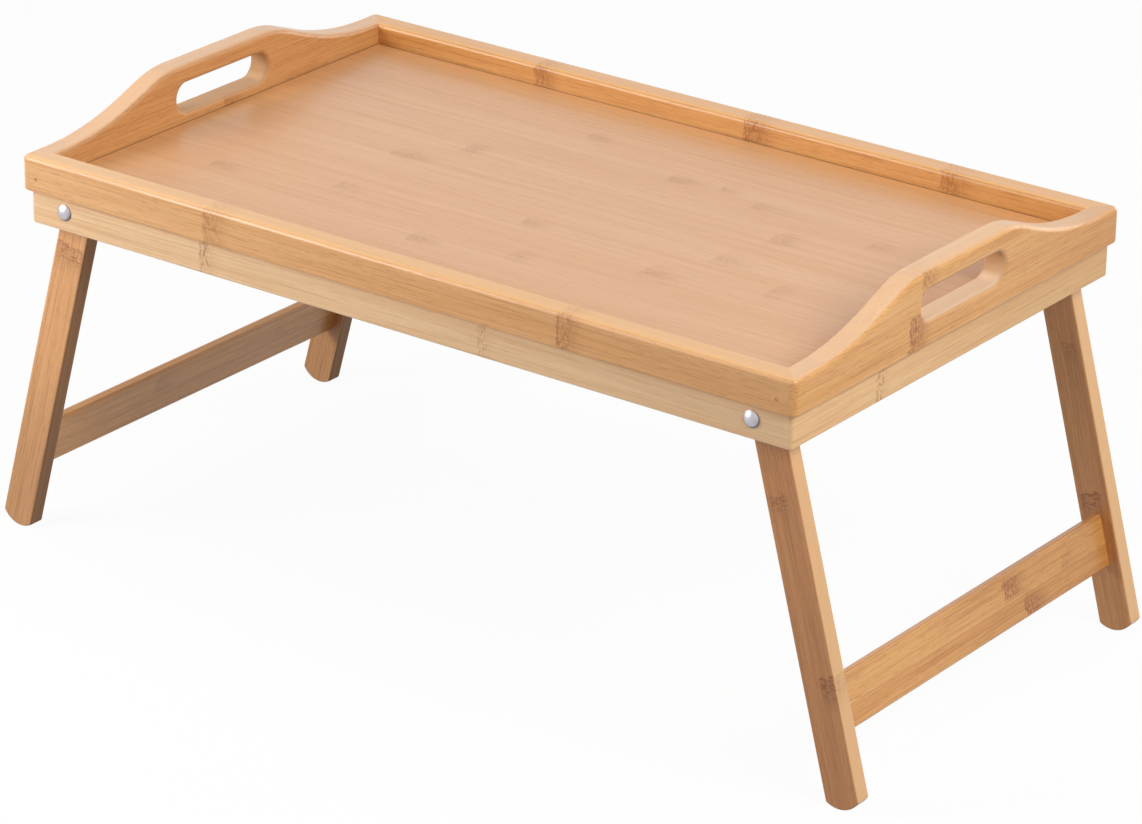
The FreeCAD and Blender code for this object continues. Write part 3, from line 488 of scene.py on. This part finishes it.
def metal(name, bright, dark, roughness, brush, rim=None):
    """Bare or plated steel, with faint turning marks and, on the nuts, painted shade round the rim of the head.
    """
    material, tree = empty_material(name)
    spot = put(tree, "ShaderNodeTexCoord").outputs["Object"]
    cloud = speckle(tree, spot, (90, 90, 90), 2.0)
    fine = speckle(tree, spot, (brush, brush, brush), 2.0)
    colour = blend(tree, ramp(tree, cloud, 0.35, 0.75, 0.0, 0.6), paint(bright), paint(dark))
    if rim:
        # painted shade round the rim of the nut's head
        colour = shaded_head_rim(tree, colour, spot, *rim)
    gloss = ramp(tree, scaled(tree, fine, 0.5, times(tree, cloud, 0.5)), 0.3, 0.7, *roughness)
    relief = put(tree, "ShaderNodeBump", {"Strength": 0.05, "Distance": 0.0001, "Height": fine}).outputs[0]
    show(tree, put(tree, "ShaderNodeBsdfPrincipled",
                   {"Base Color": colour, "Roughness": gloss, "Normal": relief, "Metallic": 1.0}))
    return material


HEAD_SHADE_RIM = (0.0037, 0.0051)     # the painted shade starts and is darkest this far from the middle of a nut's head
nickel = metal("polished nickel plate", "#C6C2C9", "#9D9AA3", (0.31, 0.42), 900, rim=HEAD_SHADE_RIM)
zinc = metal("zinc washer", "#C9CACC", "#A4A6AA", (0.3, 0.45), 1500)
screw_zinc = metal("zinc screw", "#CFCFCE", "#A5A6A8", (0.28, 0.4), 1500)
brad_steel = metal("brad steel", "#B98E64", "#8C6442", (0.4, 0.55), 2500)


# ---------------------------------------------------------------- nuts, washers, screws and brads

WELD = 0.000005         # corners nearer than this are joined
CREASE = 0.6            # an edge bent by more than this many radians stays sharp


def corner_tree(name, sizes):
    """An empty geometry tree with its sizes as named inputs. Every set of four has a spread and a height."""
    tree = bpy.data.node_groups.new(name, "GeometryNodeTree")
    tree.interface.new_socket("Geometry", in_out="OUTPUT", socket_type="NodeSocketGeometry")
    tree.interface.new_socket("Geometry", in_out="INPUT", socket_type="NodeSocketGeometry")
    for label in ["Spread", "Height"] + sizes:
        tree.interface.new_socket(label, in_out="INPUT", socket_type=FLOAT)
    tree.interface.new_socket("Finish", in_out="INPUT", socket_type="NodeSocketMaterial")
    return tree, tree.nodes.new("NodeGroupInput").outputs


def half(tree, width):
    """Half of a width."""
    return times(tree, width, 0.5)


def dome_rows(tree, radius, base, crown, way, steps=8):
    """Rows of a round cap, from crown to rim. way is 1 where the crown is further out than the rim, else -1."""
    rise = unsigned(tree, less(tree, crown, base))
    ball = scaled(tree, radius, radius, times(tree, rise, rise))
    ball = maths(tree, "DIVIDE", ball, times(tree, rise, 2.0))
    rows = []
    for step in range(steps):
        ring = times(tree, radius, sin(pi / 2 * step / steps))
        left = maths(tree, "SQRT", less(tree, times(tree, ball, ball), times(tree, ring, ring)))
        rows.append((ring, scaled(tree, less(tree, ball, left), -way, crown)))
    return rows + [(radius, base)]


def pick_row(tree, number, values):
    """The value of the row with this number."""
    pick = put(tree, "GeometryNodeIndexSwitch", data_type="FLOAT")
    while len(pick.index_switch_items) < len(values):
        pick.index_switch_items.new()
    tree.links.new(number, pick.inputs[0])
    for place, value in enumerate(values, start=1):
        if isinstance(value, bpy.types.NodeSocket):
            tree.links.new(value, pick.inputs[place])
        else:
            pick.inputs[place].default_value = value
    return pick.outputs[0]


def turn_rows(tree, rows, flip=False, sides=48):
    """Turns rows of (radius, reach) about the Y axis, as on a lathe, and closes the seam."""
    sheet = put(tree, "GeometryNodeMeshGrid",
                {"Size X": 1.0, "Size Y": 1.0, "Vertices X": sides + 1, "Vertices Y": len(rows)}).outputs[0]
    spot = split(tree, put(tree, "GeometryNodeInputPosition").outputs[0])
    angle = times(tree, plus(tree, spot[0], 0.5), 2 * pi)
    number = maths(tree, "ROUND", times(tree, plus(tree, spot[1], 0.5), len(rows) - 1))
    radius = pick_row(tree, number, [row[0] for row in rows])
    reach = pick_row(tree, number, [row[1] for row in rows])
    place = vector(tree, times(tree, radius, maths(tree, "COSINE", angle)), reach,
                   times(tree, radius, maths(tree, "SINE", angle)))
    shape = put(tree, "GeometryNodeSetPosition", {"Geometry": sheet, "Position": place}).outputs[0]
    shape = put(tree, "GeometryNodeMergeByDistance", {"Geometry": shape, "Distance": WELD}).outputs[0]
    return put(tree, "GeometryNodeFlipFaces", {"Mesh": shape}).outputs[0] if flip else shape


def at_four_corners(tree, shape, given):
    """Sets the piece at the four corners, turned outwards, keeps its sharp edges and gives it its finish."""
    bend = put(tree, "GeometryNodeInputMeshEdgeAngle").outputs[0]
    sharp = put(tree, "FunctionNodeCompare", {0: bend, 1: CREASE}, data_type="FLOAT",
                operation="GREATER_THAN").outputs[0]
    shape = put(tree, "GeometryNodeSetShadeSmooth", {"Geometry": shape, "Shade Smooth": True},
                domain="FACE").outputs[0]
    shape = put(tree, "GeometryNodeSetShadeSmooth",
                {"Geometry": shape, "Selection": sharp, "Shade Smooth": False}, domain="EDGE").outputs[0]
    # two spots at each end of the tray, one of them turned so that its piece comes to the other long side
    spots = put(tree, "GeometryNodeMeshGrid", {"Size X": times(tree, given["Spread"], 2.0), "Size Y": 0.0,
                                               "Vertices X": 2, "Vertices Y": 2}).outputs[0]
    row = maths(tree, "MODULO", put(tree, "GeometryNodeInputIndex").outputs[0], 2.0)
    turn = vector(tree, z=times(tree, row, pi))
    four = put(tree, "GeometryNodeInstanceOnPoints",
               {"Points": spots, "Instance": shape, "Rotation": turn}).outputs[0]
    lift = vector(tree, z=given["Height"])
    four = put(tree, "GeometryNodeTransform", {"Geometry": four, "Translation": lift}).outputs[0]
    four = put(tree, "GeometryNodeRealizeInstances", {"Geometry": four}).outputs[0]
    four = put(tree, "GeometryNodeSetMaterial", {"Geometry": four, "Material": given["Finish"]}).outputs[0]
    tree.links.new(four, tree.nodes.new("NodeGroupOutput").inputs[0])
    return tree


def barrel_nut_tree():
    """Domed head outside the apron, long sleeve through apron, spacer and leg, threaded hole from inside."""
    tree, given = corner_tree("turned barrel nuts", [
        "Head diameter", "Crown reach", "Rim reach", "Face reach", "Sleeve diameter", "Sleeve end",
        "Thread diameter", "Thread bottom"])
    head, sleeve, thread = (half(tree, given[part + " diameter"]) for part in ("Head", "Sleeve", "Thread"))
    rows = dome_rows(tree, head, given["Rim reach"], given["Crown reach"], 1)
    rows += [(head, given["Face reach"]), (sleeve, given["Face reach"]), (sleeve, given["Sleeve end"]),
             (thread, given["Sleeve end"]), (thread, given["Thread bottom"]), (0.0, given["Thread bottom"])]
    return at_four_corners(tree, turn_rows(tree, rows), given)


def pivot_screw_tree():
    """Pan head with a cross recess, seen from inside the leg frame, and a shank with a small chamfer."""
    tree, given = corner_tree("turned pivot screws", [
        "Head diameter", "Crown reach", "Rim reach", "Seat reach", "Shank diameter", "Point reach", "Chamfer",
        "Recess span", "Recess width", "Recess depth"])
    head, shank = half(tree, given["Head diameter"]), half(tree, given["Shank diameter"])
    rows = dome_rows(tree, head, given["Rim reach"], given["Crown reach"], -1)
    rows += [(head, given["Seat reach"]), (shank, given["Seat reach"]),
             (shank, less(tree, given["Point reach"], given["Chamfer"])),
             (less(tree, shank, given["Chamfer"]), given["Point reach"]), (0.0, given["Point reach"])]
    deep = times(tree, given["Recess depth"], 2.0)
    crown = vector(tree, y=given["Crown reach"])
    cut = put(tree, "GeometryNodeMeshBoolean", {"Mesh 1": turn_rows(tree, rows, flip=True)},
              operation="DIFFERENCE", solver="MANIFOLD")
    for first, second in (("Recess span", "Recess width"), ("Recess width", "Recess span")):
        size = vector(tree, given[first], deep, given[second])
        arm = put(tree, "GeometryNodeMeshCube", {"Size": size}).outputs[0]
        arm = put(tree, "GeometryNodeTransform", {"Geometry": arm, "Translation": crown}).outputs[0]
        tree.links.new(arm, cut.inputs["Mesh 2"])
    return at_four_corners(tree, cut.outputs[0], given)


def washer_tree():
    """Flat ring with a small chamfer on every edge."""
    tree, given = corner_tree("turned washers", ["Diameter", "Hole diameter", "Inner reach", "Outer reach",
                                                 "Chamfer"])
    rim, hole, cut = half(tree, given["Diameter"]), half(tree, given["Hole diameter"]), given["Chamfer"]
    low, high = given["Inner reach"], given["Outer reach"]
    over_low, under_high = plus(tree, low, cut), less(tree, high, cut)
    past_hole, short_of_rim = plus(tree, hole, cut), less(tree, rim, cut)
    rows = [(hole, over_low), (past_hole, low), (short_of_rim, low), (rim, over_low), (rim, under_high),
            (short_of_rim, high), (past_hole, high), (hole, under_high), (hole, over_low)]
    return at_four_corners(tree, turn_rows(tree, rows, flip=True), given)


def brad_tree():
    """Headless nail: a flat struck end just under the face of the rail, and a blunt point."""
    tree, given = corner_tree("turned brads", ["Diameter", "Struck end", "Point", "Chamfer"])
    shank, cut = half(tree, given["Diameter"]), given["Chamfer"]
    top, point = given["Struck end"], given["Point"]
    tip, taper = times(tree, shank, 0.4), plus(tree, point, times(tree, cut, 4.0))
    rows = [(0.0, top), (less(tree, shank, cut), top), (shank, less(tree, top, cut)), (shank, taper),
            (tip, point), (0.0, point)]
    return at_four_corners(tree, turn_rows(tree, rows, sides=20), given)


def fittings(name, tree, sizes, finish, stands_for):
    """Runs a tree once, keeps the result as a plain mesh on the tray, and puts it in place of CAD pieces."""
    maker = bpy.data.objects.new(name + "_maker", bpy.data.meshes.new(name + "_maker"))
    bpy.context.scene.collection.objects.link(maker)
    modifier = maker.modifiers.new("turning", "NODES")
    modifier.node_group = tree
    values = {**sizes, "Finish": finish}
    for item in tree.interface.items_tree:
        if item.in_out == "INPUT" and item.name in values:
            modifier[item.identifier] = values[item.name]
    seen = maker.evaluated_get(bpy.context.evaluated_depsgraph_get())
    mesh = bpy.data.meshes.new_from_object(seen)
    mesh.name = name
    mesh.polygons.foreach_set("material_index", [0] * len(mesh.polygons))
    mesh.materials.clear()
    mesh.materials.append(finish)
    bpy.data.objects.remove(maker)
    piece = bpy.data.objects.new(name, mesh)
    bpy.context.scene.collection.objects.link(piece)
    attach(piece, "tray")
    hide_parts(*stands_for)


def four(kind):
    """The names of the CAD pieces of one kind, at the four corners."""
    return [f"{side}_{end}_{kind}" for side in ("right", "left") for end in ("front", "rear")]


# A reach is a distance from the middle of the tray towards its long side.
pivots = {"Spread": PIVOT_X, "Height": PIVOT_Z}
fittings("barrel_nuts", barrel_nut_tree(),
         {**pivots, "Head diameter": 0.0092, "Crown reach": 0.1489, "Rim reach": 0.147, "Face reach": 0.1465,
          "Sleeve diameter": 0.0065, "Sleeve end": 0.1253, "Thread diameter": 0.0041,
          "Thread bottom": 0.1403}, nickel, four("barrel_nut"))
fittings("spacer_washers", washer_tree(),
         {**pivots, "Diameter": 0.014, "Hole diameter": 0.00666, "Inner reach": 0.1355, "Outer reach": 0.1365,
          "Chamfer": 0.00012}, zinc, four("spacer_washer"))
fittings("screw_washers", washer_tree(),
         {**pivots, "Diameter": 0.012, "Hole diameter": 0.0041, "Inner reach": 0.1243, "Outer reach": 0.1253,
          "Chamfer": 0.00012}, zinc, four("screw_washer"))
fittings("pivot_screws", pivot_screw_tree(),
         {**pivots, "Head diameter": 0.0085, "Crown reach": 0.1215, "Rim reach": 0.1231, "Seat reach": 0.1243,
          "Shank diameter": 0.004, "Point reach": 0.1383, "Chamfer": 0.0005, "Recess span": 0.005,
          "Recess width": 0.0011, "Recess depth": 0.0016}, screw_zinc, four("pivot_screw"))
fittings("brads", brad_tree(),
         {"Spread": 0.2396, "Height": 0.2172, "Diameter": 0.0018, "Struck end": 0.1498, "Point": 0.1258,
          "Chamfer": 0.00015}, brad_steel, ["corner_brads"])


# ---------------------------------------------------------------- studio

WHITE, PALE_FLOOR, DIM_FLOOR = (1, 1, 1, 1), (0.92, 0.92, 0.92, 1), paint("#A3A09D")
FLOOR_RADIUS, FLOOR_SIDES = 9, 64
FLOOR_GLOW = 0.94               # to the camera this much of the floor is plain white; the rest takes shadow


def seen_directly(tree):
    """1 for what the camera sees, also in a reflection or through a clear thing, and 0 for bounced light."""
    path = put(tree, "ShaderNodeLightPath").outputs
    return maths(tree, "MAXIMUM", path["Is Camera Ray"],
                 maths(tree, "MAXIMUM", path["Is Glossy Ray"], path["Is Transmission Ray"]))


def studio_floor():
    """A pale sheet under the table. The camera sees it near white with the table's shadow on it, and the
    table gets a dimmer bounce from it."""
    mesh = bpy.data.meshes.new("floor")
    step = 2 * pi / FLOOR_SIDES
    rim = [(FLOOR_RADIUS * cos(i * step), FLOOR_RADIUS * sin(i * step), 0) for i in range(FLOOR_SIDES)]
    mesh.from_pydata(rim, [], [list(range(FLOOR_SIDES))])
    floor = bpy.data.objects.new("floor", mesh)
    bpy.context.scene.collection.objects.link(floor)
    material, tree = empty_material("studio floor")
    seen = seen_directly(tree)
    cloth = put(tree, "ShaderNodeBsdfDiffuse", {"Color": blend(tree, seen, DIM_FLOOR, PALE_FLOOR)}).outputs[0]
    glow = put(tree, "ShaderNodeEmission", {"Color": WHITE, "Strength": 1.0}).outputs[0]
    show(tree, put(tree, "ShaderNodeMixShader", {0: times(tree, seen, FLOOR_GLOW), 1: cloth, 2: glow}))
    mesh.materials.append(material)


def studio_world():
    """Soft grey light from all round, and a white surround for the camera and for reflections."""
    world = bpy.data.worlds.new("studio")
    bpy.context.scene.world = world
    world.use_nodes = True
    tree = world.node_tree
    tree.nodes.clear()
    soft = put(tree, "ShaderNodeBackground", {"Color": (0.93, 0.96, 1, 1), "Strength": 0.24}).outputs[0]
    white = put(tree, "ShaderNodeBackground", {"Color": WHITE, "Strength": 1.0}).outputs[0]
    show(tree, put(tree, "ShaderNodeMixShader", {0: seen_directly(tree), 1: soft, 2: white}),
         "ShaderNodeOutputWorld")


def soft_box(name, place, aim, width, watts, colour):
    """A square lamp with a cloth front."""
    lamp = bpy.data.lights.new(name, "AREA")
    lamp.shape, lamp.size, lamp.size_y, lamp.energy, lamp.color = "RECTANGLE", width, width, watts, colour
    box = bpy.data.objects.new(name, lamp)
    bpy.context.scene.collection.objects.link(box)
    box.location = place
    box.rotation_euler = (Vector(aim) - Vector(place)).to_track_quat("-Z", "Y").to_euler()


studio_floor()
studio_world()
soft_box("key box", (1.85, -0.3, 1.6), (0, 0, 0.18), 1.3, 36.5, (1, 0.98, 0.955))
soft_box("front box", (-0.82, -0.85, 0.6), (-0.1, 0, 0.16), 0.6, 10.2, (1, 0.985, 0.96))
soft_box("top box", (-0.3, 0.3, 2.4), (0, 0, 0.15), 1.4, 7, (1, 0.985, 0.97))
soft_box("back box", (0.6, 1.8, 0.5), (0, 0, 0.15), 0.9, 7, (1, 0.985, 0.97))


# ---------------------------------------------------------------- camera

PICTURE_WIDTH = 1142            # pixels
LENS_PIXELS = 5043.46           # the lens, in pixels of that picture
FILM = 36                       # millimetres


def photo_camera():
    """Stands where the photograph was taken, with a long lens and a very slight roll."""
    turn, lift, roll, reach = radians(36.542), radians(23.30), radians(0.713), 2.95592
    target = Vector((-0.129064, 0.181866, 0))
    back = Vector((sin(turn) * cos(lift), -cos(turn) * cos(lift), sin(lift)))
    right = (-back).cross(Vector(Z)).normalized()
    up = right.cross(-back)
    level, rise = right * cos(roll) + up * sin(roll), -right * sin(roll) + up * cos(roll)
    data = bpy.data.cameras.new("camera")
    data.sensor_fit, data.sensor_width, data.lens = "HORIZONTAL", FILM, LENS_PIXELS / PICTURE_WIDTH * FILM
    data.clip_end = 50
    camera = bpy.data.objects.new("camera", data)
    bpy.context.scene.collection.objects.link(camera)
    aimed = Matrix((level, rise, back)).transposed().to_4x4()
    camera.matrix_world = Matrix.Translation(target + back * reach) @ aimed
    bpy.context.scene.camera = camera


photo_camera()
bpy.context.scene.view_settings.view_transform = "Standard"
